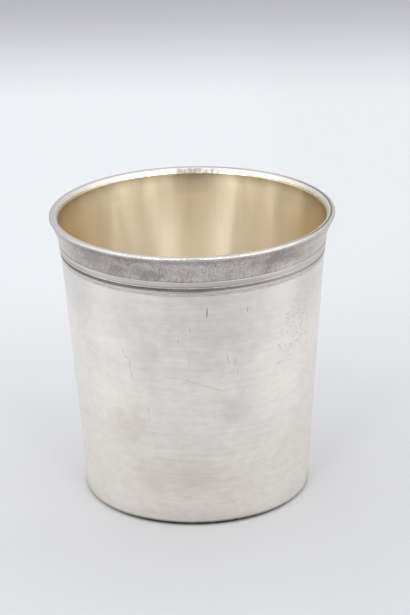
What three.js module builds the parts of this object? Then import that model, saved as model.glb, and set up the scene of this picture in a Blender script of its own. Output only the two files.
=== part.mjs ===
// A straight-sided silver beaker with a moulded rim and a gilt inside. Millimetres, +Z up.
// The beaker stands on the origin. Each piece is one closed profile of [radius, height] points
// turned about Z, and all of them are worked out from one wall line, so that they nest.
import * as THREE from "three";

// Overall sizes
const HEIGHT = 80; // table to the top of the lip
const FOOT_DIAMETER = 62.2; // outside of the wall, where its line meets the table
const SHOULDER_DIAMETER = 72.2; // outside of the wall, just under the rim mount

// Cup wall: tapered sheet, turned in at the foot and cut back at the top to seat the rim mount
const WALL_GAUGE = 0.7;
const FOOT_CORNER = 0.8; // outside radius of the bend at the foot
const FOOT_FLANGE = 3.6; // how far the foot is turned in under the base
const SEAT_DEPTH = 0.35; // cut into the outside of the wall for the rim mount
const MOUTH_FLARE = 0.65; // how far the wall opens out behind the rim mount

// Base disc: dropped onto the turned-in foot, with a raised middle
const BASE_GAUGE = 0.7;
const BASE_CROWN = 1.0; // rise of the middle above the edge
const BASE_EDGE_FIT = 0.1; // gap left round the disc for solder to run in
const BASE_FILLET = 0.9; // radius of the solder in the corner inside

// Rim mount: a drawn moulding, from the thread at its lower edge up to the lip
const THREAD_HEIGHT = 0.9;
const THREAD_PROUD = 0.16; // beyond the wall's outside
const COVE_HEIGHT = 0.9;
const COVE_DEPTH = 0.12; // below the wall's outside
const LISTEL_HEIGHT = 1.85;
const LISTEL_PROUD = 0.26;
const LISTEL_EDGE = 0.12; // bevel along both edges of the listel
const BAND_PROUD = 0.12; // foot of the flared band, beyond the wall's outside
const BAND_HEIGHT = 6.55;
const BAND_LEAN = Math.PI / 6; // from upright, where the hollow band runs into the lip
const LIP_THICKNESS = 1.0; // across its round nose
const LIP_OVERHANG = 2.55; // nose of the lip beyond the foot of the band
const LIP_LAND = 1.3; // flat on top of the lip
const LIP_EDGE = 0.3; // round where that flat turns down inside
const LIP_DEPTH = 1.5; // top of the lip down to the edge of the gilding

// Joints and coats
const SOLDER_FILM = 0.08; // between the rim mount and its seat
const SOLDER_LINE = 0.3; // height of the solder that shows under the rim mount
const SOLDER_RECESS = 0.06; // how far that solder lies below the wall's outside
const GILDING = 0.06;
const SEAM_GAP = 0.02; // between any two faces that touch

// Fineness of the solids
const FACETS = 48; // sides of each turned piece
const ARC_STEPS = 4; // steps along a small round
const BAND_STEPS = 6; // steps along the flared band

// Heights, from the lip down
const NOSE_RADIUS = LIP_THICKNESS / 2;
const BAND_FOOT_Z = HEIGHT - LIP_THICKNESS - BAND_HEIGHT;
const LISTEL_FOOT_Z = BAND_FOOT_Z - LISTEL_HEIGHT;
const COVE_FOOT_Z = LISTEL_FOOT_Z - COVE_HEIGHT;
const MOUNT_FOOT_Z = COVE_FOOT_Z - THREAD_HEIGHT;
const SHOULDER_Z = MOUNT_FOOT_Z - SOLDER_LINE;
const LEDGE_Z = HEIGHT - LIP_DEPTH;
const WALL_TOP_Z = LEDGE_Z - SEAM_GAP;

// Heights, from the table up
const BASE_SEAT_Z = WALL_GAUGE + SEAM_GAP;
const BASE_TOP_Z = BASE_SEAT_Z + BASE_GAUGE;

// The wall line that every piece follows
const TAPER = (SHOULDER_DIAMETER - FOOT_DIAMETER) / 2 / SHOULDER_Z;
const TAPER_ANGLE = Math.atan(TAPER);
const wallOutside = (z) => FOOT_DIAMETER / 2 + TAPER * z;
const wallInside = (z) => wallOutside(z) - WALL_GAUGE + mouthFlare(z);
const wallSeat = (z) => wallOutside(z) - SEAT_DEPTH + mouthFlare(z);

function mouthFlare(z) {
  const rise = Math.max(0, z - BAND_FOOT_Z) / (WALL_TOP_Z - BAND_FOOT_Z);
  return MOUTH_FLARE * rise ** 2;
}

// Radii at the foot
const FLANGE_RADIUS = FOOT_DIAMETER / 2 - FOOT_FLANGE;
const BEND_INSIDE = Math.max(0, FOOT_CORNER - WALL_GAUGE);
const OUTER_BEND = bendCentre(wallOutside, 0, FOOT_CORNER);
const INNER_BEND = bendCentre(wallInside, WALL_GAUGE, BEND_INSIDE);
const FILLET_CENTRE = bendCentre(wallInside, BASE_TOP_Z, BASE_FILLET);
const BASE_RADIUS = Math.min(INNER_BEND[0], wallInside(BASE_TOP_Z)) - BASE_EDGE_FIT;

// Radii at the rim
const BAND_RADIUS = wallOutside(BAND_FOOT_Z) + BAND_PROUD;
const LIP_RADIUS = BAND_RADIUS + LIP_OVERHANG;
const LIP_INSIDE = wallInside(WALL_TOP_Z) - SEAM_GAP - GILDING; // level with the gilding

// Centre of the bend of this radius that runs from level, at height z, into a line of the wall
function bendCentre(radiusAt, z, radius) {
  return [radiusAt(z + radius) - radius / Math.cos(TAPER_ANGLE), z + radius];
}

// Evenly spaced values from first to last, both included
function spaced(first, last, steps) {
  const step = (last - first) / steps;
  return Array.from({ length: steps + 1 }, (_, i) => first + step * i);
}

// Points of an arc round [r, z]; angles are in radians, from outwards towards up
function arc([r, z], radius, from, to, steps = ARC_STEPS) {
  return spaced(from, to, steps).map((a) => [r + radius * Math.cos(a), z + radius * Math.sin(a)]);
}

// Points of a face that follows the wall behind the rim mount, from the top down to foot
function behindMount(radiusAt, foot) {
  const heights = [...spaced(WALL_TOP_Z, BAND_FOOT_Z, ARC_STEPS), foot];
  return heights.map((z) => [radiusAt(z), z]);
}

// The inside of the cup, from the mouth down to the middle of the base, drawn in by inset
function insideFace(inset) {
  return [
    ...behindMount((z) => wallInside(z) - inset, SHOULDER_Z),
    ...arc(FILLET_CENTRE, BASE_FILLET - inset, -TAPER_ANGLE, -Math.PI / 2),
    ...crown(BASE_TOP_Z + inset),
  ];
}

// A face of the base disc from the edge of its raised part to the middle; z is the height of its edge
function crown(z) {
  return spaced(FLANGE_RADIUS, 0, ARC_STEPS).map((r) => [
    r,
    z + BASE_CROWN * (1 - (r / FLANGE_RADIUS) ** 2),
  ]);
}

// A solid turned about Z from a profile that closes on itself or starts and ends on the axis
function turned(profile) {
  const onAxis = profile[0][0] === 0 && profile.at(-1)[0] === 0;
  const outline = onAxis ? profile : [...profile, profile[0]];
  const points = outline.map(([r, z]) => new THREE.Vector2(r, z));
  return new THREE.LatheGeometry(points, FACETS).rotateX(Math.PI / 2);
}

// The tapered wall, with its turned-in foot and the cut-back seat for the rim mount
function cupWall() {
  const sharpInside = BEND_INSIDE === 0;
  return turned([
    [FLANGE_RADIUS, 0],
    ...arc(OUTER_BEND, FOOT_CORNER, -Math.PI / 2, -TAPER_ANGLE),
    [wallOutside(SHOULDER_Z), SHOULDER_Z],
    ...behindMount(wallSeat, SHOULDER_Z).reverse(),
    ...behindMount(wallInside, SHOULDER_Z),
    ...(sharpInside ? [INNER_BEND] : arc(INNER_BEND, BEND_INSIDE, -TAPER_ANGLE, -Math.PI / 2)),
    [FLANGE_RADIUS, WALL_GAUGE],
  ]);
}

// The base, flat where it lies on the turned-in foot and raised in the middle
function baseDisc() {
  return turned([
    ...crown(0).reverse(),
    [BASE_RADIUS, 0],
    [BASE_RADIUS, BASE_GAUGE],
    ...crown(BASE_GAUGE),
  ]);
}

// The solder round the base: run in beside the disc, with a hollow fillet above it
function baseSolder() {
  const floor = BASE_TOP_Z + SEAM_GAP;
  const foot = WALL_GAUGE + BEND_INSIDE + SEAM_GAP;
  const trim = Math.acos(1 - SEAM_GAP / BASE_FILLET); // ends the fillet clear of the wall and the base
  return turned([
    [BASE_RADIUS + SEAM_GAP, floor],
    [BASE_RADIUS + SEAM_GAP, foot],
    [wallInside(foot) - SEAM_GAP, foot],
    ...arc(FILLET_CENTRE, BASE_FILLET, -TAPER_ANGLE - trim, trim - Math.PI / 2),
  ]);
}

// The moulded rim: thread, cove, listel, flared band, round-nosed lip and the ledge over the wall
function rimMount() {
  const proud = (z, by) => [wallOutside(z) + by, z];
  const swell = (foot, height, by) =>
    spaced(0, Math.PI, ARC_STEPS).map((a) =>
      proud(foot + (height * (1 - Math.cos(a))) / 2, by * Math.sin(a)),
    );
  const nose = [LIP_RADIUS - NOSE_RADIUS, HEIGHT - NOSE_RADIUS];
  const [bandTop] = arc(nose, NOSE_RADIUS, -BAND_LEAN, 0);
  const bandReach = bandTop[0] - BAND_RADIUS;
  const bandRise = bandTop[1] - BAND_FOOT_Z;
  const bandSweep = 2 * (BAND_LEAN - Math.atan2(bandReach, bandRise));
  const bandRadius = Math.hypot(bandReach, bandRise) / 2 / Math.sin(bandSweep / 2);
  const [bandCentre] = arc(bandTop, bandRadius, -BAND_LEAN, 0);
  const landEnd = nose[0] - LIP_LAND;
  const bevel = Math.atan2(landEnd - LIP_INSIDE, LIP_DEPTH); // of the lip's inside, from upright
  const setBack = LIP_EDGE * Math.tan((Math.PI / 2 - bevel) / 2);
  const edge = [landEnd + setBack, HEIGHT - LIP_EDGE];
  return turned([
    ...swell(MOUNT_FOOT_Z, THREAD_HEIGHT, THREAD_PROUD),
    ...swell(COVE_FOOT_Z, COVE_HEIGHT, -COVE_DEPTH).slice(1),
    proud(LISTEL_FOOT_Z, LISTEL_PROUD - LISTEL_EDGE),
    proud(LISTEL_FOOT_Z + LISTEL_EDGE, LISTEL_PROUD),
    proud(BAND_FOOT_Z - LISTEL_EDGE, LISTEL_PROUD),
    ...arc(bandCentre, bandRadius, Math.PI - BAND_LEAN + bandSweep, Math.PI - BAND_LEAN, BAND_STEPS),
    ...arc(nose, NOSE_RADIUS, -BAND_LEAN, Math.PI / 2, 2 * ARC_STEPS).slice(1),
    ...arc(edge, LIP_EDGE, Math.PI / 2, Math.PI - bevel),
    [LIP_INSIDE, LEDGE_Z],
    [wallSeat(LEDGE_Z) + SOLDER_FILM, LEDGE_Z],
    ...behindMount((z) => wallSeat(z) + SOLDER_FILM, MOUNT_FOOT_Z).slice(1),
  ]);
}

// The solder behind the rim mount, which shows as a fine line along its lower edge
function rimSolder() {
  const foot = SHOULDER_Z + SEAM_GAP;
  const top = MOUNT_FOOT_Z - SEAM_GAP;
  return turned([
    [wallSeat(foot) + SEAM_GAP, foot],
    [wallOutside(foot) - SOLDER_RECESS, foot],
    [wallOutside(top) - SOLDER_RECESS, top],
    ...behindMount((z) => wallSeat(z) + SOLDER_FILM - SEAM_GAP, top).reverse(),
    ...behindMount((z) => wallSeat(z) + SEAM_GAP, top).slice(0, -1),
  ]);
}

// The gilding: one skin over the wall, the solder and the base
function giltLining() {
  return turned([...insideFace(SEAM_GAP), ...insideFace(SEAM_GAP + GILDING).reverse()].reverse());
}

const silver = new THREE.MeshStandardMaterial({ color: 0xd9d6d0, metalness: 1, roughness: 0.3 });
const rimSilver = new THREE.MeshStandardMaterial({ color: 0xa9a4a0, metalness: 1, roughness: 0.42 });
const solder = new THREE.MeshStandardMaterial({ color: 0x77716c, metalness: 1, roughness: 0.55 });
const gilt = new THREE.MeshStandardMaterial({ color: 0xd8bd86, metalness: 1, roughness: 0.28 });

// A named piece, standing at height z
function piece(name, geometry, material, z = 0) {
  const mesh = new THREE.Mesh(geometry, material);
  mesh.name = name;
  mesh.position.z = z;
  return mesh;
}

const cup = new THREE.Group().add(
  piece("cup_wall", cupWall(), silver),
  piece("base_disc", baseDisc(), silver, BASE_SEAT_Z),
  piece("base_solder", baseSolder(), solder),
  piece("gilt_lining", giltLining(), gilt),
);
const rim = new THREE.Group().add(
  piece("rim_mount", rimMount(), rimSilver),
  piece("rim_solder", rimSolder(), solder),
);

export default new THREE.Group().add(cup, rim);
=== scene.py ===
# The silver beaker dressed for its photograph: smooth turned skins over the CAD pieces, with worn
# silver, a tarnished rim and pale gilding inside. Lengths are in millimetres until a mesh, a node or
# the camera takes them. Angles are written in degrees, and those round the beaker start at the
# viewer's side and grow to the right.
import math
import random

import bmesh
import bpy
import numpy as np
from mathutils import Matrix, Vector


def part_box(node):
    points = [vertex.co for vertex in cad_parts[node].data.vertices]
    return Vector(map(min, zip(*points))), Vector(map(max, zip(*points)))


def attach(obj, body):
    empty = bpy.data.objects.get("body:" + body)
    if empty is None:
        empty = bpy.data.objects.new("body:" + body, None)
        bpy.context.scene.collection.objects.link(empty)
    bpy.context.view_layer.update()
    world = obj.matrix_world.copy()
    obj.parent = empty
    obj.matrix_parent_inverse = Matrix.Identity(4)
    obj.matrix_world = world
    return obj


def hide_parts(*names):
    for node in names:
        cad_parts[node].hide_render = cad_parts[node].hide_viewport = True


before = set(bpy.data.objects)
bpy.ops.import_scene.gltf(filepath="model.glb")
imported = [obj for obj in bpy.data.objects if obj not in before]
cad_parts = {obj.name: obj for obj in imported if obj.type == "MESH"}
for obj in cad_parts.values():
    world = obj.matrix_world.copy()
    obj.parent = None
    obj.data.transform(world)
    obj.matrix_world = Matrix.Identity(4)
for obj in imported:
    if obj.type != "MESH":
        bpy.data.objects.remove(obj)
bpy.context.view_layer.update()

MM = 0.001


def box_mm(node):
    """Lowest and highest corner of a CAD node."""
    return [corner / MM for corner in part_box(node)]


# Sizes read from the frame
rim_low, rim_high = box_mm("rim_mount")
solder_low = box_mm("rim_solder")[0]
lining_high = box_mm("gilt_lining")[1]
disc_low, disc_high = box_mm("base_disc")
HEIGHT = rim_high.z
LIP_RADIUS = rim_high.x
MOUNT_FOOT = rim_low.z
WALL_TOP = lining_high.z
DISC_RADIUS = disc_high.x
DISC_SEAT = disc_low.z

# Sizes of the wall and the base, as in the CAD pieces
FOOT_RADIUS = 31.1
SHOULDER_RADIUS = 36.1
WALL_GAUGE = 0.7
FOOT_CORNER = 0.8
FOOT_FLANGE = 3.6
SEAT_DEPTH = 0.35
BASE_GAUGE = 0.7
BASE_FILLET = 0.9
SEAM_GAP = 0.02
GILDING = 0.06
SOLDER_FILM = 0.08
SOLDER_RECESS = 0.06
SHOULDER = solder_low.z - SEAM_GAP
BASE_CROWN = disc_high.z - disc_low.z - BASE_GAUGE
DISC_TOP = DISC_SEAT + BASE_GAUGE
FLANGE_RADIUS = FOOT_RADIUS - FOOT_FLANGE

# Sizes of the rim moulding, as in the CAD pieces
THREAD_HEIGHT = 0.9
THREAD_PROUD = 0.16
COVE_HEIGHT = 0.9
COVE_DEPTH = 0.12
LISTEL_HEIGHT = 1.85
LISTEL_PROUD = 0.26
LISTEL_EDGE = 0.12
BAND_PROUD = 0.12
BAND_LEAN = math.radians(30)
NOSE_RADIUS = 0.5
LIP_LAND = 1.3
LIP_EDGE = 0.3
LEDGE = WALL_TOP + SEAM_GAP
COVE_FOOT = MOUNT_FOOT + THREAD_HEIGHT
LISTEL_FOOT = COVE_FOOT + COVE_HEIGHT
BAND_FOOT = LISTEL_FOOT + LISTEL_HEIGHT

# The wall line that every piece follows
TAPER = (SHOULDER_RADIUS - FOOT_RADIUS) / SHOULDER
TAPER_ANGLE = math.atan(TAPER)
MEAN_RADIUS = (FOOT_RADIUS + SHOULDER_RADIUS) / 2
MOUTH_FLARE = lining_high.x + SEAM_GAP + WALL_GAUGE - FOOT_RADIUS - TAPER * WALL_TOP
LIP_INSIDE = lining_high.x - GILDING
LEVEL_DOWN = -math.pi / 2


def wall_outside(z):
    return FOOT_RADIUS + TAPER * z


def mouth_flare(z):
    return MOUTH_FLARE * (max(0, z - BAND_FOOT) / (WALL_TOP - BAND_FOOT)) ** 2


def wall_inside(z):
    return wall_outside(z) - WALL_GAUGE + mouth_flare(z)


def wall_seat(z):
    return wall_outside(z) - SEAT_DEPTH + mouth_flare(z)


def mount_back(z):
    """Back of the rim mount, a film of solder away from its seat."""
    return wall_seat(z) + SOLDER_FILM


def bend_centre(radius_at, z, radius):
    """Centre of the bend that runs from level, at height z, into a line of the wall."""
    return (radius_at(z + radius) - radius / math.cos(TAPER_ANGLE), z + radius)


# Stretches of a profile, as (radius, height) points


def spread(low, high, step):
    """Values from low to high, both included, about step apart."""
    return np.linspace(low, high, max(1, round(abs(high - low) / step)) + 1)


def run(start, end, step):
    """A straight stretch."""
    count = max(1, round(math.dist(start, end) / step))
    return np.linspace(start, end, count + 1)


def arc(centre, radius, start, end, steps):
    """A round stretch; its angles are in radians, from outwards towards up."""
    turns = np.linspace(start, end, steps + 1)
    return np.column_stack([centre[0] + radius * np.cos(turns), centre[1] + radius * np.sin(turns)])


def along(radius_at, heights):
    """A stretch whose radius is a function of its height."""
    return np.array([(radius_at(z), z) for z in heights])


def swell(foot, height, proud, steps):
    """A bead, or a hollow where proud is below 0, on the outside of the wall."""
    turns = np.linspace(0, math.pi, steps + 1)
    heights = foot + height * (1 - np.cos(turns)) / 2
    return np.column_stack([wall_outside(heights) + proud * np.sin(turns), heights])


CROWN_STEPS = 24


def crown(edge_height):
    """A face of the base disc, from the edge of its raised part to the middle."""
    radii = np.linspace(FLANGE_RADIUS, 0, CROWN_STEPS + 1)
    return np.column_stack([radii, edge_height + BASE_CROWN * (1 - (radii / FLANGE_RADIUS) ** 2)])


# What a stretch carries, from 0 to 1: edges rubbed bright, dirt in seams and hollows mixed with
# painted shade at the foot, in the groove and near the mouth of the lining, grey tarnish of the flared
# band, thinned at its ends as a painted sheen, the lip's dull flanks, painted darker at the sides as
# shade, the dark line on its right, gilding that laps over its bevel, and the share of unevenness
SHOWN_MARKS = ("worn", "recess", "tarnish", "dulled", "line", "gilded")
MARKS = (*SHOWN_MARKS, "uneven")


def marked(points, **marks):
    """A stretch with its marks; a mark is a number, or a pair for the stretch's two ends."""
    columns = [np.linspace(*np.broadcast_to(marks.get(label, 0.0), 2), len(points)) for label in MARKS]
    return np.column_stack([np.array(points, dtype=float), *columns])


# Profiles of the pieces


# Where the painted shade and dirt of the foot thin out, as angles on its bend and heights over it, and
# how far the wall stays even at its two ends
FOOT_SHADE_LOW = math.radians(-66)
FOOT_SHADE_KNEE = math.radians(-25)
DARK_TOP = 1.3
DIM_TOP = 4.4
EVEN_END = 9


def wall_profile():
    bend = bend_centre(wall_outside, 0, FOOT_CORNER)
    uneven_top = SHOULDER - EVEN_END
    return np.vstack([
        marked([(FLANGE_RADIUS, 0)], recess=0.2),
        # The foot's bend and the wall just above it are painted dark as shade, mixed with dirt in the corner
        marked(arc(bend, FOOT_CORNER, LEVEL_DOWN, FOOT_SHADE_LOW, 3), recess=(0.2, 1.0)),
        marked(arc(bend, FOOT_CORNER, FOOT_SHADE_LOW, FOOT_SHADE_KNEE, 5)[1:], recess=1.0),
        marked(arc(bend, FOOT_CORNER, FOOT_SHADE_KNEE, -TAPER_ANGLE, 5)[1:], recess=(1.0, 0.8)),
        marked(along(wall_outside, spread(FOOT_CORNER + 0.1, DARK_TOP, 0.2)), recess=(0.55, 0.12)),
        marked(along(wall_outside, spread(DARK_TOP + 0.2, DIM_TOP, 0.3)), recess=(0.1, 0.0)),
        marked(along(wall_outside, spread(DIM_TOP + 0.4, EVEN_END, 0.8)), uneven=(0.0, 1.0)),
        marked(along(wall_outside, spread(EVEN_END + 0.8, uneven_top, 0.8)), uneven=1.0),
        marked(along(wall_outside, spread(uneven_top + 0.8, SHOULDER - 0.1, 0.8)), uneven=(1.0, 0.0)),
        marked([(wall_outside(SHOULDER) - 0.02, SHOULDER - 0.03)], worn=0.5),
        marked([(wall_outside(SHOULDER) - 0.07, SHOULDER)], recess=0.6),
        marked(along(wall_seat, [SHOULDER, *spread(BAND_FOOT, WALL_TOP, 1)]), recess=1.0),
        marked(along(wall_inside, [*spread(WALL_TOP, BAND_FOOT, 1), WALL_GAUGE])),
        marked([(FLANGE_RADIUS, WALL_GAUGE)], recess=1.0),
    ])


def base_profile():
    face = crown(DISC_TOP)
    edge = [(DISC_RADIUS, DISC_SEAT), (DISC_RADIUS, DISC_TOP)]
    return np.vstack([marked(face[::-1] - (0, BASE_GAUGE)), marked(edge, recess=1.0), marked(face)])


def rim_profile():
    nose = (LIP_RADIUS - NOSE_RADIUS, HEIGHT - NOSE_RADIUS)
    nose_round = arc(nose, NOSE_RADIUS, -BAND_LEAN, math.pi / 2, 20)
    band_top = nose_round[0]
    band_reach = band_top[0] - wall_outside(BAND_FOOT) - BAND_PROUD
    band_rise = band_top[1] - BAND_FOOT
    sweep = 2 * (BAND_LEAN - math.atan2(band_reach, band_rise))
    hollow = math.hypot(band_reach, band_rise) / 2 / math.sin(sweep / 2)
    hollow_centre = arc(band_top, hollow, -BAND_LEAN, 0, 1)[0]
    band = arc(hollow_centre, hollow, math.pi - BAND_LEAN + sweep, math.pi - BAND_LEAN, 22)
    land_end = nose[0] - LIP_LAND
    bevel = math.atan2(land_end - LIP_INSIDE, HEIGHT - LEDGE)
    edge = (land_end + LIP_EDGE * math.tan((math.pi / 2 - bevel) / 2), HEIGHT - LIP_EDGE)
    edge_round = arc(edge, LIP_EDGE, math.pi / 2, math.pi - bevel, 6)
    slope = run(edge_round[-1], (LIP_INSIDE, LEDGE), 0.2)

    def listel(share, sunk=0.0):
        z = LISTEL_FOOT + LISTEL_HEIGHT * share
        return (wall_outside(z) + LISTEL_PROUD - sunk, z)

    thread = swell(MOUNT_FOOT, THREAD_HEIGHT, THREAD_PROUD, steps=10)
    land = run((nose[0] - 0.1, HEIGHT), (edge[0] + 0.05, HEIGHT), 0.12)
    cove = swell(COVE_FOOT, COVE_HEIGHT, -COVE_DEPTH, steps=10)
    low_edge = (listel(0)[0] - LISTEL_EDGE, LISTEL_FOOT + LISTEL_EDGE)
    high_edge = (listel(1)[0] - LISTEL_EDGE, BAND_FOOT - LISTEL_EDGE)
    return np.vstack([
        marked(thread[:7], tarnish=0.4),
        # From here up to the listel's lower edge the groove is darkened by dirt mixed with painted shade
        marked(thread[7:], tarnish=0.4, recess=(0.1, 0.6)),
        marked(cove[1:], recess=(0.7, 1.0)),
        marked(arc(low_edge, LISTEL_EDGE, LEVEL_DOWN, 0, 6), recess=(1.0, 0.6), worn=(0.0, 0.7)),
        marked(run(listel(0.12), listel(0.2), 0.08), worn=(1.0, 0.3)),
        marked([listel(0.24, 0.02), listel(0.28, 0.04), listel(0.32, 0.02)], recess=0.55),
        marked(run(listel(0.36), listel(0.9), 0.2), recess=(0.12, 0.0)),
        marked(arc(high_edge, LISTEL_EDGE, 0, math.pi / 2, 6), worn=0.4),
        marked(band[:3], tarnish=1.0, recess=(0.3, 0.0)),
        marked(band[3:16], tarnish=1.0),
        marked(band[16:21], tarnish=1.0, recess=(0.0, 0.3)),
        marked(band[21:], tarnish=(1.0, 0.8), recess=(0.3, 0.1)),
        marked(nose_round[1:6], tarnish=(0.8, 0.5), uneven=1.0),
        marked(nose_round[6:10], tarnish=(0.4, 0.1), worn=(0.0, 0.4), dulled=(0.3, 0.6), uneven=1.0),
        marked(nose_round[10:15], worn=(0.8, 1.0), dulled=(0.7, 0.9), uneven=1.0),
        marked(nose_round[15:], worn=(0.8, 0.3), dulled=1.0, uneven=1.0),
        marked(land[:2], worn=0.2, dulled=1.0),
        marked(land[2:6], worn=0.2, dulled=1.0, line=1.0),
        marked(land[6:], worn=0.2, dulled=(1.0, 0.5)),
        marked(edge_round, worn=(0.3, 1.0), uneven=(0.3, 1.0)),
        marked(slope[1:], worn=1.0, gilded=(0.1, 1.0), uneven=(1.0, 0.3)),
        marked([(mount_back(LEDGE), LEDGE)], recess=1.0),
        marked(along(mount_back, [*spread(WALL_TOP, BAND_FOOT, 1), MOUNT_FOOT]), recess=1.0),
    ])


def rim_solder_profile():
    shown = [SHOULDER + SEAM_GAP, MOUNT_FOOT - SEAM_GAP]
    behind = [MOUNT_FOOT - SEAM_GAP, *spread(BAND_FOOT, WALL_TOP, 1)]
    return np.vstack([
        marked(along(lambda z: wall_outside(z) - SOLDER_RECESS, shown)),
        marked(along(lambda z: mount_back(z) - SEAM_GAP, behind), recess=1.0),
        marked(along(lambda z: wall_seat(z) + SEAM_GAP, [*behind[:0:-1], shown[0]]), recess=1.0),
    ])


FILLET_CENTRE = bend_centre(wall_inside, DISC_TOP, BASE_FILLET)


def base_solder_profile():
    foot = FOOT_CORNER + SEAM_GAP
    trim = math.acos(1 - SEAM_GAP / BASE_FILLET)
    inner = DISC_RADIUS + SEAM_GAP
    outer = wall_inside(foot) - SEAM_GAP
    return np.vstack([
        marked([(inner, DISC_TOP + SEAM_GAP), (inner, foot), (outer, foot)], recess=1.0),
        marked(arc(FILLET_CENTRE, BASE_FILLET, -TAPER_ANGLE - trim, trim + LEVEL_DOWN, 8), recess=1.0),
    ])


def lining_face(inset, step, uneven):
    """The inside of the cup from the mouth down to the middle of the base, drawn in by inset."""
    fillet_top = FILLET_CENTRE[1] + 0.4

    def face(z):
        return wall_inside(z) - inset

    lip = along(face, spread(WALL_TOP, WALL_TOP - 2, 0.4))
    mouth = along(face, spread(WALL_TOP - 2.4, BAND_FOOT, 0.4))
    wall = along(face, spread(BAND_FOOT - step, fillet_top, step))
    return np.vstack([
        # Near the mouth the lining carries painted shade
        marked(lip, uneven=0.2 * uneven, recess=(1.0, 0.5)),
        marked(mouth, uneven=(0.2 * uneven, uneven), recess=(0.4, 0.0)),
        marked(wall, uneven=uneven),
        marked(arc(FILLET_CENTRE, BASE_FILLET - inset, -TAPER_ANGLE, LEVEL_DOWN, 8), recess=0.6),
        marked(crown(DISC_TOP + inset)),
    ])


def lining_profile():
    hidden = lining_face(SEAM_GAP, step=12, uneven=0.0)
    shown = lining_face(SEAM_GAP + GILDING, step=1.0, uneven=1.0)
    return np.vstack([hidden, shown[::-1]])


# Unevenness of a surface, as a shift along its normal


def waves(seed, around, up, count, depth):
    """Seeded waves that close on themselves: a range of waves round it, and of radians per mm up it."""
    draw = random.Random(seed)
    terms = [
        (draw.randint(*around), draw.uniform(-up, up), draw.uniform(0, 2 * math.pi))
        for _ in range(count)
    ]

    def shift(angle, height):
        swing = sum(np.sin(k * angle + q * height + phase) for k, q, phase in terms)
        return depth * swing / math.sqrt(count)

    return shift


def inward(shift):
    """The same unevenness, kept from standing proud."""
    return lambda angle, height: np.minimum(0, shift(angle, height))


def both(first, second):
    return lambda angle, height: first(angle, height) + second(angle, height)


# Points of a skin closer than this, in metres, are one, and bends sharper than this show as edges
MERGE_DISTANCE = 1e-7
SHARP_BEND = math.radians(35)


def turned(name, profile, segments, relief=None):
    """A closed skin turned about Z from a profile that closes on itself or ends on the axis."""
    radius, height = profile[:, 0], profile[:, 1]
    on_axis = radius[0] == 0 and radius[-1] == 0
    if on_axis:
        ahead, behind = np.vstack([profile[1:], profile[-1:]]), np.vstack([profile[:1], profile[:-1]])
    else:
        ahead, behind = np.roll(profile, -1, 0), np.roll(profile, 1, 0)
    slope = (ahead - behind)[:, :2]
    slope /= np.maximum(np.linalg.norm(slope, axis=1, keepdims=True), 1e-9)
    angle = np.arange(segments) * 2 * math.pi / segments
    shift = np.zeros((len(profile), segments))
    if relief:
        shift = relief(angle[None, :], height[:, None]) * profile[:, [2 + MARKS.index("uneven")]]
    r = radius[:, None] + shift * slope[:, 1:2]
    z = height[:, None] - shift * slope[:, 0:1]
    vertices = np.stack([r * np.sin(angle), -r * np.cos(angle), z], axis=-1).reshape(-1, 3) * MM
    ring = np.arange(segments)
    after = (ring + 1) % segments
    faces = []
    for i in range(len(profile) - 1 if on_axis else len(profile)):
        low, high = i * segments, (i + 1) % len(profile) * segments
        faces.append(np.stack([low + ring, low + after, high + after, high + ring], axis=1))
    mesh = bpy.data.meshes.new(name)
    mesh.from_pydata(vertices.tolist(), [], np.vstack(faces).tolist())
    for column, label in enumerate(SHOWN_MARKS, start=2):
        values = np.repeat(profile[:, column], segments)
        mesh.attributes.new(label, "FLOAT", "POINT").data.foreach_set("value", values)
    skin = bmesh.new()
    skin.from_mesh(mesh)
    bmesh.ops.remove_doubles(skin, verts=skin.verts, dist=MERGE_DISTANCE)
    bmesh.ops.recalc_face_normals(skin, faces=skin.faces)
    skin.to_mesh(mesh)
    skin.free()
    mesh.shade_smooth()
    mesh.set_sharp_from_angle(angle=SHARP_BEND)
    piece = bpy.data.objects.new(name, mesh)
    bpy.context.scene.collection.objects.link(piece)
    return piece


# Shader helpers


def put(tree, kind, inputs=None, **settings):
    """Adds a shader node; inputs maps a socket's name or number to a value or another node's socket."""
    node = tree.nodes.new("ShaderNode" + kind)
    for key, value in settings.items():
        setattr(node, key, value)
    for key, value in (inputs or {}).items():
        if isinstance(value, bpy.types.NodeSocket):
            tree.links.new(value, node.inputs[key])
        else:
            node.inputs[key].default_value = value
    return node


def maths(tree, operation, *values):
    return put(tree, "Math", dict(enumerate(values)), operation=operation).outputs[0]


def times(tree, *values):
    product = values[0]
    for value in values[1:]:
        product = maths(tree, "MULTIPLY", product, value)
    return product


def total(tree, *values):
    result = values[0]
    for value in values[1:]:
        result = maths(tree, "ADD", result, value)
    return result


def most(tree, *values):
    result = values[0]
    for value in values[1:]:
        result = maths(tree, "MAXIMUM", result, value)
    return result


def vectors(tree, operation, *values):
    node = put(tree, "VectorMath", dict(enumerate(values)), operation=operation)
    return node.outputs["Value" if operation in ("DOT_PRODUCT", "LENGTH", "DISTANCE") else "Vector"]


def vector(tree, *parts):
    return put(tree, "CombineXYZ", dict(enumerate(parts))).outputs[0]


def parts_of(tree, value):
    return put(tree, "SeparateXYZ", {0: value}).outputs


def ramp(tree, value, low, high, to_low=0.0, to_high=1.0):
    """Maps a value smoothly from low..high to to_low..to_high, and holds it outside."""
    inputs = {"Value": value, "From Min": low, "From Max": high, "To Min": to_low, "To Max": to_high}
    return put(tree, "MapRange", inputs, interpolation_type="SMOOTHSTEP").outputs["Result"]


def window(tree, value, low, high, soft):
    """1 where a value lies between low and high, with soft ends."""
    return times(
        tree,
        ramp(tree, value, low - soft, low + soft),
        ramp(tree, value, high - soft, high + soft, 1.0, 0.0),
    )


def blend(tree, factor, first, second):
    return put(tree, "Mix", {0: factor, 6: first, 7: second}, data_type="RGBA").outputs[2]


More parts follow.
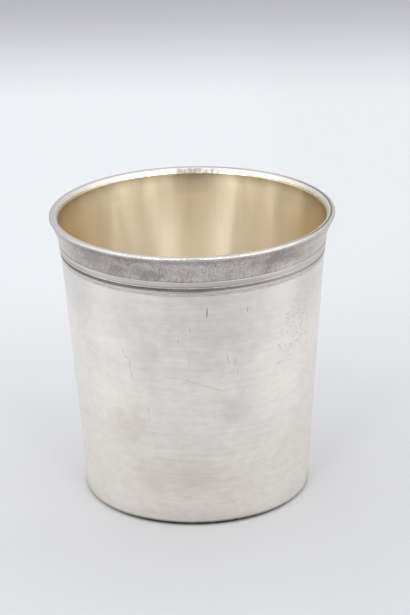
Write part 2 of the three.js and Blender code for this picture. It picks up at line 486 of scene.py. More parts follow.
def fade(tree, factor, first, second):
    return put(tree, "Mix", {0: factor, 2: first, 3: second}, data_type="FLOAT").outputs[0]


def noise(tree, at, seed, detail):
    inputs = {"Vector": at, "W": seed, "Scale": 1.0, "Detail": detail}
    return put(tree, "TexNoise", inputs, noise_dimensions="4D").outputs["Fac"]


def place(tree):
    """The point on the surface, in the beaker's own frame, in millimetres."""
    point = put(tree, "TexCoord").outputs["Object"]
    return vectors(tree, "MULTIPLY", point, (1 / MM,) * 3)


def angle_round(tree, parts):
    """Angle of a point round the beaker, in radians."""
    return maths(tree, "ARCTAN2", parts["X"], times(tree, parts["Y"], -1.0))


def unrolled(tree):
    """The point as (distance round the beaker, height), or as (x, y) where the surface lies flat."""
    point = place(tree)
    parts = parts_of(tree, point)
    upright = vector(tree, times(tree, angle_round(tree, parts), MEAN_RADIUS), parts["Z"])
    lift = parts_of(tree, put(tree, "NewGeometry").outputs["True Normal"])["Z"]
    lies_flat = maths(tree, "GREATER_THAN", maths(tree, "ABSOLUTE", lift), 0.7)
    return put(tree, "Mix", {0: lies_flat, 4: upright, 5: point}, data_type="VECTOR").outputs[1]


def group(name, inputs, outputs):
    """An empty node group; inputs maps a name to its default, and each output is a value."""
    tree = bpy.data.node_groups.new(name, "ShaderNodeTree")
    for label, default in inputs.items():
        socket = tree.interface.new_socket(label, in_out="INPUT", socket_type="NodeSocketFloat")
        socket.default_value = default
    for label in outputs:
        tree.interface.new_socket(label, in_out="OUTPUT", socket_type="NodeSocketFloat")
    return tree, tree.nodes.new("NodeGroupInput").outputs, tree.nodes.new("NodeGroupOutput").inputs


def use(tree, made, **values):
    """Places a node group; a value's name is the socket's name with its spaces as underscores."""
    node = tree.nodes.new("ShaderNodeGroup")
    node.node_tree = made
    for key, value in values.items():
        node.inputs[key.replace("_", " ")].default_value = value
    return node.outputs


# Shared effects


def polish_lines_group():
    """Fine lines that run round the beaker, left by the polishing buff."""
    tree, given, out = group("polish_lines", {"Length": 14.0, "Spacing": 0.3, "Seed": 0.0}, ["Lines"])
    parts = parts_of(tree, place(tree))
    radius = vectors(tree, "LENGTH", vector(tree, parts["X"], parts["Y"]))
    wide = maths(tree, "DIVIDE", 1.0, given["Length"])
    across = maths(tree, "DIVIDE", maths(tree, "SUBTRACT", parts["Z"], radius), given["Spacing"])
    at = vector(tree, times(tree, parts["X"], wide), times(tree, parts["Y"], wide), across)
    tree.links.new(noise(tree, at, given["Seed"], detail=2.0), out["Lines"])
    return tree


def scattered(tree, cell, seed):
    """Random cells over the unrolled surface: offset from a cell's point, its colour, and the distance."""
    at = vectors(tree, "DIVIDE", unrolled(tree), vector(tree, cell, cell, cell))
    at = vectors(tree, "ADD", at, vector(tree, times(tree, seed, 17.3), times(tree, seed, 5.9)))
    cells = put(tree, "TexVoronoi", {"Vector": at, "Scale": 1.0}, voronoi_dimensions="2D").outputs
    offset = vectors(tree, "SUBTRACT", at, cells["Position"])
    return parts_of(tree, offset), put(tree, "SeparateColor", {0: cells["Color"]}).outputs, cells["Distance"]


def scratches_group():
    """One straight scratch in each cell of a random pattern; Lie turns them from any way to level."""
    inputs = {"Cell": 9.0, "Width": 0.05, "Share": 0.5, "Lie": 0.0, "Seed": 0.0}
    tree, given, out = group("hair_scratches", inputs, ["Mask"])
    offset, drawn, _ = scattered(tree, given["Cell"], given["Seed"])
    any_way = maths(tree, "SUBTRACT", 1.0, given["Lie"])
    spin = times(tree, maths(tree, "SUBTRACT", drawn[0], 0.5), any_way, math.pi)
    cosine, sine = maths(tree, "COSINE", spin), maths(tree, "SINE", spin)
    far = total(tree, times(tree, offset["X"], cosine), times(tree, offset["Y"], sine))
    away = maths(tree, "SUBTRACT", times(tree, offset["Y"], cosine), times(tree, offset["X"], sine))
    half_width = maths(tree, "DIVIDE", given["Width"], given["Cell"])
    line = ramp(tree, maths(tree, "ABSOLUTE", away), 0.0, half_width, 1.0, 0.0)
    length = ramp(tree, maths(tree, "ABSOLUTE", far), 0.12, 0.4, 1.0, 0.0)
    chosen = maths(tree, "LESS_THAN", drawn[1], given["Share"])
    tree.links.new(times(tree, line, length, chosen), out["Mask"])
    return tree


def pits_group():
    """Small round pits, scattered thinly and in clusters."""
    inputs = {"Cell": 2.2, "Size": 0.16, "Share": 0.4, "Cluster": 12.0, "Seed": 0.0}
    tree, given, out = group("pits", inputs, ["Mask"])
    _, drawn, distance = scattered(tree, given["Cell"], given["Seed"])
    mean_size = maths(tree, "DIVIDE", given["Size"], given["Cell"])
    size = times(tree, mean_size, ramp(tree, drawn[2], 0.0, 1.0, 0.5, 1.2))
    dot = ramp(tree, distance, times(tree, size, 0.3), size, 1.0, 0.0)
    at = vectors(tree, "DIVIDE", place(tree), vector(tree, *[given["Cluster"]] * 3))
    cluster = ramp(tree, noise(tree, at, given["Seed"], detail=1.0), 0.42, 0.65)
    chosen = maths(tree, "LESS_THAN", drawn[1], times(tree, cluster, given["Share"]))
    tree.links.new(times(tree, dot, chosen), out["Mask"])
    return tree


def bloom_group():
    """Patches of tarnished colour, soft or grainy by their size across and up the surface."""
    inputs = {"Across": 20.0, "Up": 20.0, "Low": 0.4, "High": 0.65, "Detail": 3.0, "Seed": 0.0}
    tree, given, out = group("tarnish_bloom", inputs, ["Mask"])
    size = vector(tree, given["Across"], given["Across"], given["Up"])
    at = vectors(tree, "DIVIDE", place(tree), size)
    cloud = noise(tree, at, given["Seed"], given["Detail"])
    tree.links.new(ramp(tree, cloud, given["Low"], given["High"]), out["Mask"])
    return tree


def edges_group():
    """What the stretches of a profile carry, broken up a little."""
    inputs = {"Break Up": 0.5, "Size": 1.0, "Seed": 0.0}
    labels = [label.title() for label in SHOWN_MARKS]
    tree, given, out = group("edge_marks", inputs, labels)
    at = vectors(tree, "DIVIDE", place(tree), vector(tree, *[given["Size"]] * 3))
    loss = ramp(tree, noise(tree, at, given["Seed"], detail=3.0), 0.35, 0.7)
    keep = maths(tree, "SUBTRACT", 1.0, times(tree, loss, given["Break Up"]))
    for label in labels:
        value = put(tree, "Attribute", attribute_name=label.lower()).outputs["Fac"]
        tree.links.new(times(tree, value, keep), out[label])
    return tree


ARC_PER_DEGREE = math.radians(1) * MEAN_RADIUS


def placed_scratch_group():
    """A straight nick or scratch between two places on the wall, given as angles and heights."""
    inputs = {"From Angle": 0.0, "From Height": 30.0, "To Angle": 5.0, "To Height": 30.0, "Width": 0.15}
    tree, given, out = group("placed_scratch", inputs, ["Mask"])
    point = unrolled(tree)

    def end(label):
        return vector(tree, times(tree, given[label + " Angle"], ARC_PER_DEGREE), given[label + " Height"])

    start = end("From")
    span = vectors(tree, "SUBTRACT", end("To"), start)
    reach = vectors(tree, "SUBTRACT", vectors(tree, "MULTIPLY", point, (1, 1, 0)), start)
    covered = vectors(tree, "DOT_PRODUCT", reach, span)
    share = maths(tree, "DIVIDE", covered, vectors(tree, "DOT_PRODUCT", span, span))
    held = put(tree, "Clamp", {0: share}).outputs[0]
    nearest = vectors(tree, "MULTIPLY", span, vector(tree, held, held, held))
    away = vectors(tree, "DISTANCE", reach, nearest)
    from_end = maths(tree, "PINGPONG", held, 0.5)
    thin = times(tree, given["Width"], ramp(tree, from_end, 0.0, 0.3, 0.35, 1.0))
    tree.links.new(ramp(tree, away, 0.0, thin, 1.0, 0.0), out["Mask"])
    return tree


def soft_spot_group():
    """A soft stain at one place on the wall, given as an angle and a height, with a ragged edge."""
    inputs = {"Angle": 0.0, "Height": 30.0, "Across": 8.0, "Up": 8.0, "Seed": 0.0}
    tree, given, out = group("soft_spot", inputs, ["Mask"])
    centre = vector(tree, times(tree, given["Angle"], ARC_PER_DEGREE), given["Height"])
    reach = vectors(tree, "MULTIPLY", vectors(tree, "SUBTRACT", unrolled(tree), centre), (1, 1, 0))
    size = vector(tree, given["Across"], given["Up"], 1.0)
    away = vectors(tree, "LENGTH", vectors(tree, "DIVIDE", reach, size))
    at = vectors(tree, "DIVIDE", place(tree), (4.0, 4.0, 4.0))
    stray = maths(tree, "SUBTRACT", noise(tree, at, given["Seed"], detail=3.0), 0.5)
    ragged = total(tree, away, times(tree, stray, 1.2))
    tree.links.new(ramp(tree, ragged, 0.1, 1.0, 1.0, 0.0), out["Mask"])
    return tree


POLISH = polish_lines_group()
SCRATCHES = scratches_group()
PITS = pits_group()
BLOOM = bloom_group()
EDGES = edges_group()
PLACED = placed_scratch_group()
SPOT = soft_spot_group()

# Nicks and scratches of the wall: places along each one as (angle, height), its width and its darkness
WALL_SCRATCHES = [
    ([(5.7, 65.2), (5.6, 62.1)], 0.30, 0.85),
    ([(23.6, 64.1), (23.4, 62.6)], 0.26, 0.6),
    ([(-14.2, 44.9), (-5.7, 44.3), (2.2, 42.8), (13.4, 40.1)], 0.16, 0.4),
    ([(-33.6, 51.6), (-33.0, 49.5), (-30.0, 49.0), (-30.1, 46.4), (-28.8, 42.1)], 0.4, 0.2),
    ([(14.4, 50.7), (15.2, 48.2)], 0.22, 0.4),
    ([(18.2, 49.7), (18.3, 47.4)], 0.2, 0.35),
    ([(19.6, 46.6), (19.6, 44.3)], 0.2, 0.3),
    ([(-2.4, 50.0), (-2.4, 48.5)], 0.22, 0.3),
    ([(-6.9, 56.1), (-6.9, 54.9)], 0.24, 0.4),
    ([(-1.7, 59.1), (-1.7, 58.1)], 0.24, 0.45),
    ([(-21.9, 35.1), (-21.9, 33.6)], 0.22, 0.4),
    ([(39.9, 45.3), (42.0, 45.4)], 0.24, 0.45),
    ([(47.0, 49.4), (49.5, 49.4)], 0.26, 0.4),
    ([(47.8, 46.0), (49.6, 46.1)], 0.26, 0.35),
    ([(53.6, 54.0), (56.1, 54.1)], 0.26, 0.4),
    ([(58.1, 50.4), (60.9, 50.6)], 0.26, 0.4),
    ([(-40.4, 14.8), (-40.0, 13.7)], 0.24, 0.3),
]

# Stains of the wall as (angle, height, across, up)
PINK_STAINS = [(-34, 27, 13, 9), (-24, 14, 12, 7), (-4, 15, 16, 8), (9, 66.5, 11, 2.5)]
YELLOW_STAINS = [(40.6, 21.9, 8, 9), (49, 11, 9, 7), (-44, 32, 6, 8)]
GREY_STAINS = [
    (10, 57, 24, 15), (-22, 50, 6, 14), (-38, 59, 17, 10), (18, 34, 8, 7), (42, 57, 14, 10),
    (-46, 47, 11, 9), (45, 48, 9, 8),
]
RIM_STAINS = [(-40, 76, 15, 6), (-20, 74.5, 6, 3), (38, 76.5, 10, 4)]


def metal(name, anisotropy):
    """A new metal, brushed round the beaker; gives the material, its tree and the shader's inputs."""
    material = bpy.data.materials.new(name)
    material.use_nodes = True
    tree = material.node_tree
    shader = tree.nodes["Principled BSDF"].inputs
    shader["Metallic"].default_value = 1.0
    shader["Anisotropic"].default_value = anisotropy
    shader["Anisotropic Rotation"].default_value = 0.25
    return material, tree, shader


def bump(tree, shader, height, distance, strength=1.0):
    node = put(tree, "Bump", {"Height": height, "Distance": distance * MM, "Strength": strength})
    tree.links.new(node.outputs["Normal"], shader["Normal"])


def placed_scratches(tree):
    """All nicks and scratches of the wall as one mask."""
    masks = []
    for places, width, darkness in WALL_SCRATCHES:
        for (angle, height), (next_angle, next_height) in zip(places, places[1:]):
            mask = use(tree, PLACED, From_Angle=angle, From_Height=height, To_Angle=next_angle,
                       To_Height=next_height, Width=width)["Mask"]
            masks.append(times(tree, mask, darkness))
    return most(tree, *masks)


def stains(tree, places, seed):
    masks = [
        use(tree, SPOT, Angle=angle, Height=height, Across=across, Up=up, Seed=seed + i)["Mask"]
        for i, (angle, height, across, up) in enumerate(places)
    ]
    return most(tree, *masks)


# Colours of the silver, its stains and its dirt, and of the shade and light painted on it
SILVER = (0.935, 0.90, 0.84, 1)
WARM_SILVER = (0.93, 0.875, 0.81, 1)
GREY_SILVER = (0.915, 0.91, 0.865, 1)
LOW_SILVER = (0.925, 0.86, 0.78, 1)
PAINTED_FLANK_LIGHT = (0.97, 0.92, 0.85, 1)
UNDER_RIM_SHADOW = (0.73, 0.71, 0.68, 1)
PINK_STAIN = (0.84, 0.755, 0.705, 1)
YELLOW_STAIN = (0.95, 0.905, 0.785, 1)
GREY_STAIN = (0.80, 0.775, 0.73, 1)
RUBBED_GREY = (0.45, 0.44, 0.42, 1)
SCRATCH_DIRT = (0.24, 0.22, 0.20, 1)
FOOT_DIRT_AND_SHADE = (0.03, 0.028, 0.026, 1)


def worn_silver():
    """Polished silver gone soft: buffing lines, hair scratches, pits, nicks and faint stains, with painted
    shade along the foot and under the rim and painted light on the lower sides.
    """
    material, tree, shader = metal("worn_silver", anisotropy=0.5)
    lines = use(tree, POLISH, Length=30.0, Spacing=0.9, Seed=1.0)["Lines"]
    fine_lines = use(tree, POLISH, Length=24.0, Spacing=0.3, Seed=2.0)["Lines"]
    streaks = use(tree, BLOOM, Across=6.0, Up=0.8, Low=0.35, High=0.65, Detail=2.0, Seed=2.2)["Mask"]
    mottle = use(tree, BLOOM, Across=2.4, Up=1.8, Low=0.3, High=0.7, Detail=5.0, Seed=2.5)["Mask"]
    cloud = use(tree, BLOOM, Across=6.0, Up=5.0, Low=0.3, High=0.7, Detail=2.0, Seed=2.7)["Mask"]
    level = use(tree, SCRATCHES, Cell=7.0, Width=0.09, Share=0.4, Lie=0.9, Seed=3.0)["Mask"]
    slanting = use(tree, SCRATCHES, Cell=12.0, Width=0.08, Share=0.3, Lie=0.1, Seed=4.0)["Mask"]
    pits = use(tree, PITS, Cell=2.4, Size=0.3, Share=0.4, Cluster=13.0, Seed=5.0)["Mask"]
    flecks = use(tree, BLOOM, Across=1.5, Up=0.6, Low=0.5, High=0.72, Detail=2.0, Seed=6.0)["Mask"]
    rough_right = use(tree, SPOT, Angle=50.0, Height=54.0, Across=12.0, Up=16.0, Seed=7.0)["Mask"]
    rough_left = use(tree, SPOT, Angle=-57.0, Height=52.0, Across=8.0, Up=12.0, Seed=8.0)["Mask"]
    flecks = times(tree, flecks, most(tree, rough_right, times(tree, rough_left, 0.6)))
    nicks = placed_scratches(tree)
    marks = use(tree, EDGES, Break_Up=0.15, Size=3.0, Seed=8.0)
    warm = use(tree, BLOOM, Across=15.0, Up=12.0, Low=0.4, High=0.68, Seed=9.0)["Mask"]
    grey = use(tree, BLOOM, Across=11.0, Up=16.0, Low=0.42, High=0.7, Seed=10.0)["Mask"]
    colour = blend(tree, times(tree, warm, 0.6), SILVER, WARM_SILVER)
    colour = blend(tree, times(tree, grey, 0.5), colour, GREY_SILVER)
    parts = parts_of(tree, place(tree))
    low = ramp(tree, parts["Z"], 8.0, 34.0, 0.7, 0.0)
    colour = blend(tree, low, colour, LOW_SILVER)
    pink = stains(tree, PINK_STAINS, seed=20.0)
    colour = blend(tree, times(tree, pink, 0.9), colour, PINK_STAIN)
    yellow = stains(tree, YELLOW_STAINS, seed=30.0)
    colour = blend(tree, times(tree, yellow, 0.7), colour, YELLOW_STAIN)
    dim = stains(tree, GREY_STAINS, seed=40.0)
    colour = blend(tree, times(tree, dim, 0.8), colour, GREY_STAIN)
    sideways = maths(tree, "ABSOLUTE", parts["X"])
    # Painted light: the lower wall is lighter towards its sides
    lower_flank_light = times(tree, ramp(tree, parts["Z"], 10.0, 32.0, 0.9, 0.0), ramp(tree, sideways, 10.0, 22.0))
    colour = blend(tree, lower_flank_light, colour, PAINTED_FLANK_LIGHT)
    # Painted shadow of the rim on the wall below it, strongest towards the sides
    under_rim_shadow = times(tree, ramp(tree, parts["Z"], 50.0, 66.0), ramp(tree, sideways, 8.0, 28.0, 0.0, 0.7))
    colour = blend(tree, under_rim_shadow, colour, UNDER_RIM_SHADOW)
    long_strokes = times(tree, ramp(tree, lines, 0.4, 0.6), 0.8)
    fine_strokes = times(tree, ramp(tree, fine_lines, 0.35, 0.7), 0.3)
    buffing_and_shade = total(tree, streaks, long_strokes, fine_strokes)
    # The buffing marks and mottle are real wear; they thin towards the sides, which paints the middle of the
    # wall darker as shade
    buffing_and_shade = times(tree, buffing_and_shade, ramp(tree, sideways, 8.0, 26.0, 0.075, 0.035))
    mottle_and_shade = times(tree, mottle, ramp(tree, sideways, 8.0, 26.0, 0.13, 0.12))
    clouded = total(tree, mottle_and_shade, times(tree, cloud, 0.05))
    rubbed_and_shade = total(tree, buffing_and_shade, clouded)
    colour = blend(tree, rubbed_and_shade, colour, RUBBED_GREY)
    hurts = most(
        tree,
        times(tree, level, 0.08),
        times(tree, slanting, 0.12),
        times(tree, pits, 0.2),
        times(tree, flecks, 0.3),
        nicks,
    )
    colour = blend(tree, hurts, colour, SCRATCH_DIRT)
    # Painted shade along the foot, mixed with dirt in the seams; darkest in the middle, lighter towards the
    # sides
    dirt_and_shade = times(tree, marks["Recess"], ramp(tree, sideways, 8.0, 28.0, 0.98, 0.42))
    colour = blend(tree, dirt_and_shade, colour, FOOT_DIRT_AND_SHADE)
    tree.links.new(colour, shader["Base Color"])
    rough = total(tree, ramp(tree, mottle, 0.0, 1.0, 0.278, 0.295), times(tree, hurts, 0.3))
    tree.links.new(rough, shader["Roughness"])
    ridges = total(tree, lines, times(tree, fine_lines, 0.3))
    height = maths(tree, "SUBTRACT", ridges, times(tree, hurts, 30.0))
    bump(tree, shader, height, distance=0.00015)
    return material


# Colours of the rim
RUBBED_FRONT = (0.93, 0.915, 0.885, 1)
RUBBED_BACK = (0.92, 0.875, 0.80, 1)
MOULDING_LIGHT = (0.71, 0.67, 0.635, 1)
MOULDING_DARK = (0.57, 0.53, 0.50, 1)
GREY_TARNISH = (0.70, 0.675, 0.64, 1)
PINK_TARNISH = (0.69, 0.625, 0.59, 1)
BROWN_TARNISH = (0.70, 0.635, 0.555, 1)
DEEP_TARNISH = (0.33, 0.30, 0.285, 1)
BRIGHT_SCRATCH = (0.85, 0.83, 0.80, 1)
NIBBLE_SHADE = (0.5, 0.475, 0.455, 1)
SHADED_LIP_FLANK = (0.60, 0.575, 0.565, 1)
LAPPED_GILDING = (0.66, 0.55, 0.39, 1)
RIM_DIRT_AND_SHADE = (0.075, 0.062, 0.056, 1)


def tarnished_rim():
    """Silver with a tarnished band, dirt and painted shade in the groove, worn bright edges with painted
    breaks in their highlight, painted shade on the lip's sides, a painted sheen at the band's ends, and
    gilding on the bevel.
    """
    material, tree, shader = metal("tarnished_rim", anisotropy=0.0)
    patch = use(tree, BLOOM, Across=6.0, Up=2.4, Low=0.38, High=0.64, Detail=4.0, Seed=11.0)["Mask"]
    grain = use(tree, BLOOM, Across=0.45, Up=0.45, Low=0.36, High=0.64, Detail=3.0, Seed=12.0)["Mask"]
    strokes = use(tree, BLOOM, Across=0.5, Up=5.0, Low=0.45, High=0.68, Detail=2.0, Seed=13.0)["Mask"]
    tint = use(tree, BLOOM, Across=9.0, Up=9.0, Low=0.4, High=0.65, Detail=2.0, Seed=14.0)["Mask"]
    fine_lines = use(tree, POLISH, Length=20.0, Spacing=0.25, Seed=15.0)["Lines"]
    scratches = use(tree, SCRATCHES, Cell=3.5, Width=0.07, Share=0.4, Lie=0.0, Seed=16.0)["Mask"]
    nibble_shade = use(tree, BLOOM, Across=1.0, Up=6.0, Low=0.42, High=0.58, Detail=1.0, Seed=19.0)["Mask"]
    edges = use(tree, EDGES, Break_Up=0.1, Size=1.5, Seed=17.0)["Worn"]
    marks = use(tree, EDGES, Break_Up=0.15, Size=7.0, Seed=18.0)
    parts = parts_of(tree, place(tree))
    side = parts["X"]
    sideways = maths(tree, "ABSOLUTE", side)
    near_middle = ramp(tree, sideways, 8.0, 20.0, 1.0, 0.5)
    in_front = times(tree, ramp(tree, parts["Y"], -20.0, 10.0, 0.85, 0.0), near_middle)
    behind = times(tree, ramp(tree, parts["Y"], 10.0, 26.0), ramp(tree, sideways, 10.0, 16.0, 0.7, 0.12))
    # Dark dashes painted along the lip's worn edge, in front and at the back, where its highlight breaks on
    # the nibbled dents: painted shade
    nibble_shade = times(tree, nibble_shade, edges, most(tree, in_front, behind))
    bright = blend(tree, ramp(tree, parts["Y"], 0.0, 25.0), RUBBED_FRONT, RUBBED_BACK)
    plain = blend(tree, ramp(tree, fine_lines, 0.35, 0.65), MOULDING_LIGHT, MOULDING_DARK)
    dulled = blend(tree, tint, GREY_TARNISH, PINK_TARNISH)
    dulled = blend(tree, ramp(tree, side, 2.0, 28.0, 0.0, 0.7), dulled, BROWN_TARNISH)
    dull = stains(tree, RIM_STAINS, seed=50.0)
    depth = total(
        tree,
        times(tree, patch, 0.3),
        times(tree, grain, 0.45),
        times(tree, strokes, 0.3),
        times(tree, dull, 0.55),
    )
    dulled = blend(tree, depth, dulled, DEEP_TARNISH)
    # Tarnish, thinned towards the band's two ends so that they look lighter: a painted sheen
    tarnish = times(tree, marks["Tarnish"], ramp(tree, sideways, 29.0, 36.0, 1.0, 0.3))
    colour = blend(tree, tarnish, plain, dulled)
    colour = blend(tree, times(tree, scratches, 0.25), colour, BRIGHT_SCRATCH)
    colour = blend(tree, edges, colour, bright)
    colour = blend(tree, nibble_shade, colour, NIBBLE_SHADE)
    # The lip is painted darker and greyer at its two sides, as shade
    lip_flank_shade = times(tree, marks["Dulled"], ramp(tree, sideways, 24.0, 35.0, 0.0, 0.8))
    colour = blend(tree, lip_flank_shade, colour, SHADED_LIP_FLANK)
    lap = ramp(tree, sideways, 14.0, 34.0, 0.66, 0.36)
    lapped = use(tree, EDGES, Break_Up=0.35, Size=1.2, Seed=26.0)["Gilded"]
    gilded = ramp(tree, lapped, lap, total(tree, lap, 0.12))
    colour = blend(tree, gilded, colour, LAPPED_GILDING)
    # Dirt in the groove mixed with painted shade, darker on the left, and a dark line on the right of the lip
    dirt_and_shade = most(
        tree,
        times(tree, marks["Recess"], ramp(tree, side, -10.0, 36.0, 0.97, 0.45)),
        times(tree, marks["Line"], ramp(tree, side, 22.0, 34.0, 0.0, 0.85)),
    )
    colour = blend(tree, dirt_and_shade, colour, RIM_DIRT_AND_SHADE)
    tree.links.new(colour, shader["Base Color"])
    rough = fade(tree, edges, fade(tree, tarnish, 0.3, 0.42), ramp(tree, sideways, 24.0, 35.0, 0.28, 0.5))
    tree.links.new(rough, shader["Roughness"])
    height = total(tree, times(tree, grain, tarnish), times(tree, scratches, -0.4))
    bump(tree, shader, height, distance=0.008, strength=0.8)
    return material


def dull_solder():
    """Grey solder, clouded a little."""
    light = (0.80, 0.76, 0.73, 1)
    dark = (0.60, 0.57, 0.54, 1)
    material, tree, shader = metal("dull_solder", anisotropy=0.0)
    bloom = use(tree, BLOOM, Across=3.0, Up=3.0, Low=0.35, High=0.65, Seed=18.0)["Mask"]
    tree.links.new(blend(tree, bloom, light, dark), shader["Base Color"])
    tree.links.new(ramp(tree, bloom, 0.0, 1.0, 0.38, 0.55), shader["Roughness"])
    return material


# Colours of the gilding
GILT_LIGHT = (0.95, 0.865, 0.71, 1)
GILT_DARK = (0.89, 0.80, 0.645, 1)
GILT_WORN = (0.93, 0.85, 0.71, 1)
GILT_DEPTH = (0.965, 0.88, 0.73, 1)
GILT_MOUTH_SHADE = (0.90, 0.765, 0.555, 1)
GILT_LEFT_SHADE = (0.82, 0.705, 0.51, 1)
GILT_RIGHT_SHADE = (0.79, 0.70, 0.54, 1)
GILT_DIRT_AND_SHADE = (0.30, 0.22, 0.11, 1)


def pale_gilding():
    """Thin gilding over silver: soft upright bands, buffing lines, faint wear and a few scratches, with
    painted shade towards the mouth and at the two sides.
    """
    material, tree, shader = metal("pale_gilding", anisotropy=1.0)
    lines = use(tree, POLISH, Length=20.0, Spacing=0.4, Seed=21.0)["Lines"]
    bands = use(tree, BLOOM, Across=2.2, Up=60.0, Low=0.35, High=0.65, Detail=5.0, Seed=22.0)["Mask"]
    worn = use(tree, BLOOM, Across=10.0, Up=18.0, Low=0.45, High=0.72, Detail=3.0, Seed=23.0)["Mask"]
    scratches = use(tree, SCRATCHES, Cell=7.0, Width=0.05, Share=0.4, Lie=0.3, Seed=24.0)["Mask"]
    marks = use(tree, EDGES, Break_Up=0.12, Size=3.0, Seed=25.0)
    parts = parts_of(tree, place(tree))
    # The two sides of the lining are painted darker and more olive, as shade
    gilt_flank_shade = ramp(tree, maths(tree, "ABSOLUTE", parts["X"]), 22.0, 33.0)
    olive = blend(tree, ramp(tree, parts["X"], -10.0, 10.0), GILT_LEFT_SHADE, GILT_RIGHT_SHADE)
    # Towards the mouth the gilding is painted darker and richer, as shade; deeper down it is a little paler
    mouth = ramp(tree, parts["Z"], 66.0, 78.0, 0.0, 0.3)
    deep = ramp(tree, parts["Z"], 58.0, 68.0, 1.0, 0.0)
    colour = blend(tree, bands, GILT_LIGHT, GILT_DARK)
    colour = blend(tree, times(tree, worn, 0.4), colour, GILT_WORN)
    colour = blend(tree, deep, colour, GILT_DEPTH)
    colour = blend(tree, mouth, colour, GILT_MOUTH_SHADE)
    colour = blend(tree, gilt_flank_shade, colour, olive)
    # Painted shade near the mouth, and dirt with painted shade in the bottom corner
    colour = blend(tree, times(tree, marks["Recess"], 0.9), colour, GILT_DIRT_AND_SHADE)
    tree.links.new(colour, shader["Base Color"])
    scuffed = ramp(tree, parts["Z"], 58.0, 74.0, 0.36, 0.29)
    rough = total(tree, scuffed, ramp(tree, lines, 0.3, 0.7, -0.01, 0.01), times(tree, scratches, 0.1))
    tree.links.new(rough, shader["Roughness"])
    height = maths(tree, "SUBTRACT", times(tree, lines, 0.2), scratches)
    bump(tree, shader, height, distance=0.0004)
    return material


# Pieces


def dress(node, material, profile, segments, relief=None):
    """A smooth skin that stands for a CAD node."""
    piece = turned(node + "_skin", profile, segments, relief)
    piece.data.materials.append(material)
    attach(piece, "root")
    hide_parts(node)


# Facets round each skin
WALL_SEGMENTS = 384
BASE_SEGMENTS = 192
RIM_SEGMENTS = 800
LINING_SEGMENTS = 480


def add_pieces():
    silver = worn_silver()
    solder = dull_solder()
    planished = waves(seed=11, around=(2, 26), up=0.25, count=14, depth=0.008)
    nibbled = inward(waves(seed=12, around=(100, 150), up=4.0, count=4, depth=0.022))
    bruised = inward(waves(seed=13, around=(20, 60), up=0.5, count=6, depth=0.012))
    rippled = waves(seed=14, around=(18, 52), up=0.012, count=10, depth=0.005)
    swaying = waves(seed=15, around=(3, 14), up=0.05, count=6, depth=0.008)
    dress("cup_wall", silver, wall_profile(), WALL_SEGMENTS, planished)
    dress("base_disc", silver, base_profile(), BASE_SEGMENTS)
    dress("rim_mount", tarnished_rim(), rim_profile(), RIM_SEGMENTS, both(nibbled, bruised))
    dress("rim_solder", solder, rim_solder_profile(), WALL_SEGMENTS)
    dress("base_solder", solder, base_solder_profile(), BASE_SEGMENTS)
    dress("gilt_lining", pale_gilding(), lining_profile(), LINING_SEGMENTS, both(rippled, swaying))


# Camera, at the photograph's viewing angle; the long side of the image takes the sensor's width
AIM = Vector((3.04, 0, 51.42))
DISTANCE = 709.3
ELEVATION = math.radians(21.13)
ROLL = math.radians(-1.11)
LENS = 150
SENSOR = 36


def add_camera():
    data = bpy.data.cameras.new("camera")
    data.lens = LENS
    data.sensor_width = SENSOR
    camera = bpy.data.objects.new("camera", data)
    bpy.context.scene.collection.objects.link(camera)
    back = Vector((0, -math.cos(ELEVATION), math.sin(ELEVATION)))
    across = Vector((1, 0, 0))
    above = back.cross(across)
    right = across * math.cos(ROLL) + above * math.sin(ROLL)
    up = above * math.cos(ROLL) - across * math.sin(ROLL)
    turn = Matrix((right, up, back)).transposed().to_4x4()
    camera.matrix_world = Matrix.Translation((AIM + back * DISTANCE) * MM) @ turn
    bpy.context.scene.camera = camera


# Floor: half its width, how far the painted shade round the foot reaches, and where the painted shadow under
# the foot starts and ends
FLOOR_HALF = 3000
SHADE_REACH = 80
CONTACT_SHADOW_UNDER = 0.6
CONTACT_SHADOW_REACH = 1.5


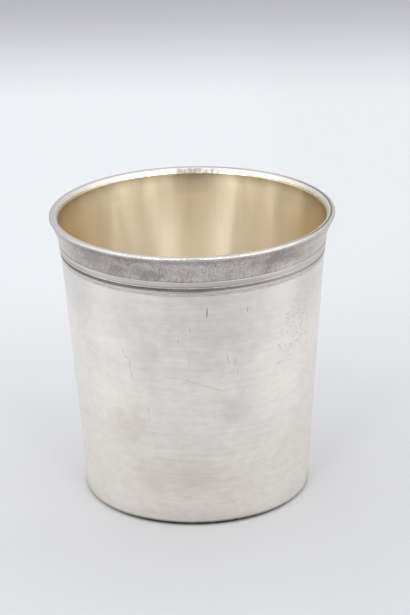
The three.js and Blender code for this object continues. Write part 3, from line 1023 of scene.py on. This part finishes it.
def add_floor():
    """A wide pale sheet with painted shade: dimmer near the viewer, far behind and round the foot, with a
    painted shadow where the foot stands and painted light well beside it.
    """
    mesh = bpy.data.meshes.new("floor")
    half = FLOOR_HALF * MM
    corners = [(-half, -half, 0), (half, -half, 0), (half, half, 0), (-half, half, 0)]
    mesh.from_pydata(corners, [], [(0, 1, 2, 3)])
    floor = bpy.data.objects.new("floor", mesh)
    bpy.context.scene.collection.objects.link(floor)
    material = bpy.data.materials.new("pale_paper")
    material.use_nodes = True
    tree = material.node_tree
    shader = tree.nodes["Principled BSDF"].inputs
    parts = parts_of(tree, place(tree))
    depth = parts["Y"]
    sideways = maths(tree, "ABSOLUTE", parts["X"])
    beside = times(tree, ramp(tree, sideways, 65.0, 120.0), window(tree, depth, -75.0, 20.0, 35.0))
    front = (0.505, 0.505, 0.515, 1)
    near = (0.655, 0.66, 0.676, 1)
    middle = (0.732, 0.737, 0.763, 1)
    far = (0.40, 0.40, 0.43, 1)
    shade = (0.3, 0.3, 0.3, 1)
    light = (0.83, 0.835, 0.85, 1)
    contact_shadow = (0.2, 0.2, 0.2, 1)
    # The floor's brightness is painted: darker near the viewer and far behind, a little darker on the right,
    # lighter well beside the beaker
    colour = blend(tree, ramp(tree, depth, -260.0, -110.0), front, near)
    colour = blend(tree, ramp(tree, depth, -60.0, 150.0), colour, middle)
    colour = blend(tree, ramp(tree, parts["X"], 15.0, 45.0, 0.0, 0.05), colour, shade)
    colour = blend(tree, beside, colour, light)
    colour = blend(tree, ramp(tree, depth, 360.0, 560.0), colour, far)
    out = vectors(tree, "LENGTH", vector(tree, parts["X"], parts["Y"]))
    # Painted shadow of the beaker on the floor, in front of it and to its right
    shaded = most(tree, ramp(tree, depth, -40.0, -15.0, 1.0, 0.0), ramp(tree, parts["X"], 20.0, 40.0))
    foot_shade = times(tree, shaded, ramp(tree, out, FOOT_RADIUS, FOOT_RADIUS + SHADE_REACH, 0.06, 0.0))
    colour = blend(tree, foot_shade, colour, shade)
    # Painted shadow where the foot meets the floor, deepest in front and behind, faint at the sides
    contact_shadow_depth = ramp(tree, sideways, 14.0, 31.0, 0.85, 0.15)
    contact_shadow_start = FOOT_RADIUS - CONTACT_SHADOW_UNDER
    contact_shadow_end = FOOT_RADIUS + CONTACT_SHADOW_REACH
    contact_shadow_mask = ramp(tree, out, contact_shadow_start, contact_shadow_end, contact_shadow_depth, 0.0)
    colour = blend(tree, contact_shadow_mask, colour, contact_shadow)
    tree.links.new(colour, shader["Base Color"])
    shader["Roughness"].default_value = 0.7
    shader["Specular IOR Level"].default_value = 0.2
    mesh.materials.append(material)


# Lit strips of the tent as (start, end, foot, top, strength): degrees round from the front, where the strip's
# line meets the horizon, and degrees up; every strip leans towards the front as it rises
STRIP_LEAN = 0.45
STRIP_SIDE_FADE = 1.0
STRIP_END_FADE = 4.0
LEFT_STRIPS = [
    (38, 46, 8, 54, 3.4),
    (37, 47, 24, 54, 1.8),
    (54, 61, 4, 40, 0.7),
    (76, 84, 4, 38, 0.5),
    (105, 114, 4, 38, 0.5),
]
RIGHT_STRIPS = [
    (39, 48, 8, 52, 2.1),
    (32, 45, 23, 48, 2.6),
    (62, 74, 4, 40, 1.3),
    (86, 92, 4, 38, 0.5),
]

# Soft lamp over the back: how high its middle stands, how far its core and its fading edge reach
LAMP_HEIGHT = math.radians(60)
LAMP_CORE = math.radians(22)
LAMP_EDGE = math.radians(34)
LAMP_STRENGTH = 0.6

TENT_TINT = (0.985, 0.99, 1.0, 1)
TENT_TOP = 0.8


def add_world():
    """A pale tent: dim low down in front and behind, bright beside, with lit strips and a soft lamp."""
    world = bpy.data.worlds.new("studio")
    bpy.context.scene.world = world
    world.use_nodes = True
    tree = world.node_tree
    shader = tree.nodes["Background"].inputs
    heading = put(tree, "TexCoord").outputs["Generated"]
    parts = parts_of(tree, heading)
    from_front = maths(tree, "DEGREES", angle_round(tree, parts))
    rise = maths(tree, "DEGREES", maths(tree, "ARCSINE", parts["Z"]))
    turn = maths(tree, "ABSOLUTE", from_front)
    front = ramp(tree, rise, 14.0, 25.0, 0.18, 0.93)
    sides = ramp(tree, rise, -2.0, 14.0, 0.8, 1.2)
    back = ramp(tree, rise, 8.0, 22.0, 0.33, 0.85)
    level = fade(tree, ramp(tree, turn, 32.0, 38.0), front, sides)
    level = fade(tree, ramp(tree, turn, 96.0, 126.0), level, back)
    level = fade(tree, ramp(tree, rise, 45.0, 70.0), level, TENT_TOP)
    on_right = maths(tree, "GREATER_THAN", from_front, 0.0)
    on_left = maths(tree, "SUBTRACT", 1.0, on_right)
    leaning = total(tree, turn, times(tree, rise, STRIP_LEAN))
    strips = []
    for side, places in ((on_left, LEFT_STRIPS), (on_right, RIGHT_STRIPS)):
        for start, end, foot, top, strength in places:
            width = window(tree, leaning, start, end, STRIP_SIDE_FADE)
            length = window(tree, rise, foot, top, STRIP_END_FADE)
            strips.append(times(tree, side, times(tree, width, length), strength))
    to_lamp = (0.0, math.cos(LAMP_HEIGHT), math.sin(LAMP_HEIGHT))
    facing = vectors(tree, "DOT_PRODUCT", heading, to_lamp)
    lamp = ramp(tree, facing, math.cos(LAMP_EDGE), math.cos(LAMP_CORE), 0.0, LAMP_STRENGTH)
    tree.links.new(total(tree, level, lamp, *strips), shader["Strength"])
    shader["Color"].default_value = TENT_TINT


# Enough for light that goes from wall to wall inside the cup
BOUNCES = 24


def set_view():
    scene = bpy.context.scene
    scene.view_settings.view_transform = "Standard"
    scene.cycles.max_bounces = BOUNCES
    scene.cycles.glossy_bounces = BOUNCES


add_camera()
add_pieces()
add_floor()
add_world()
set_view()
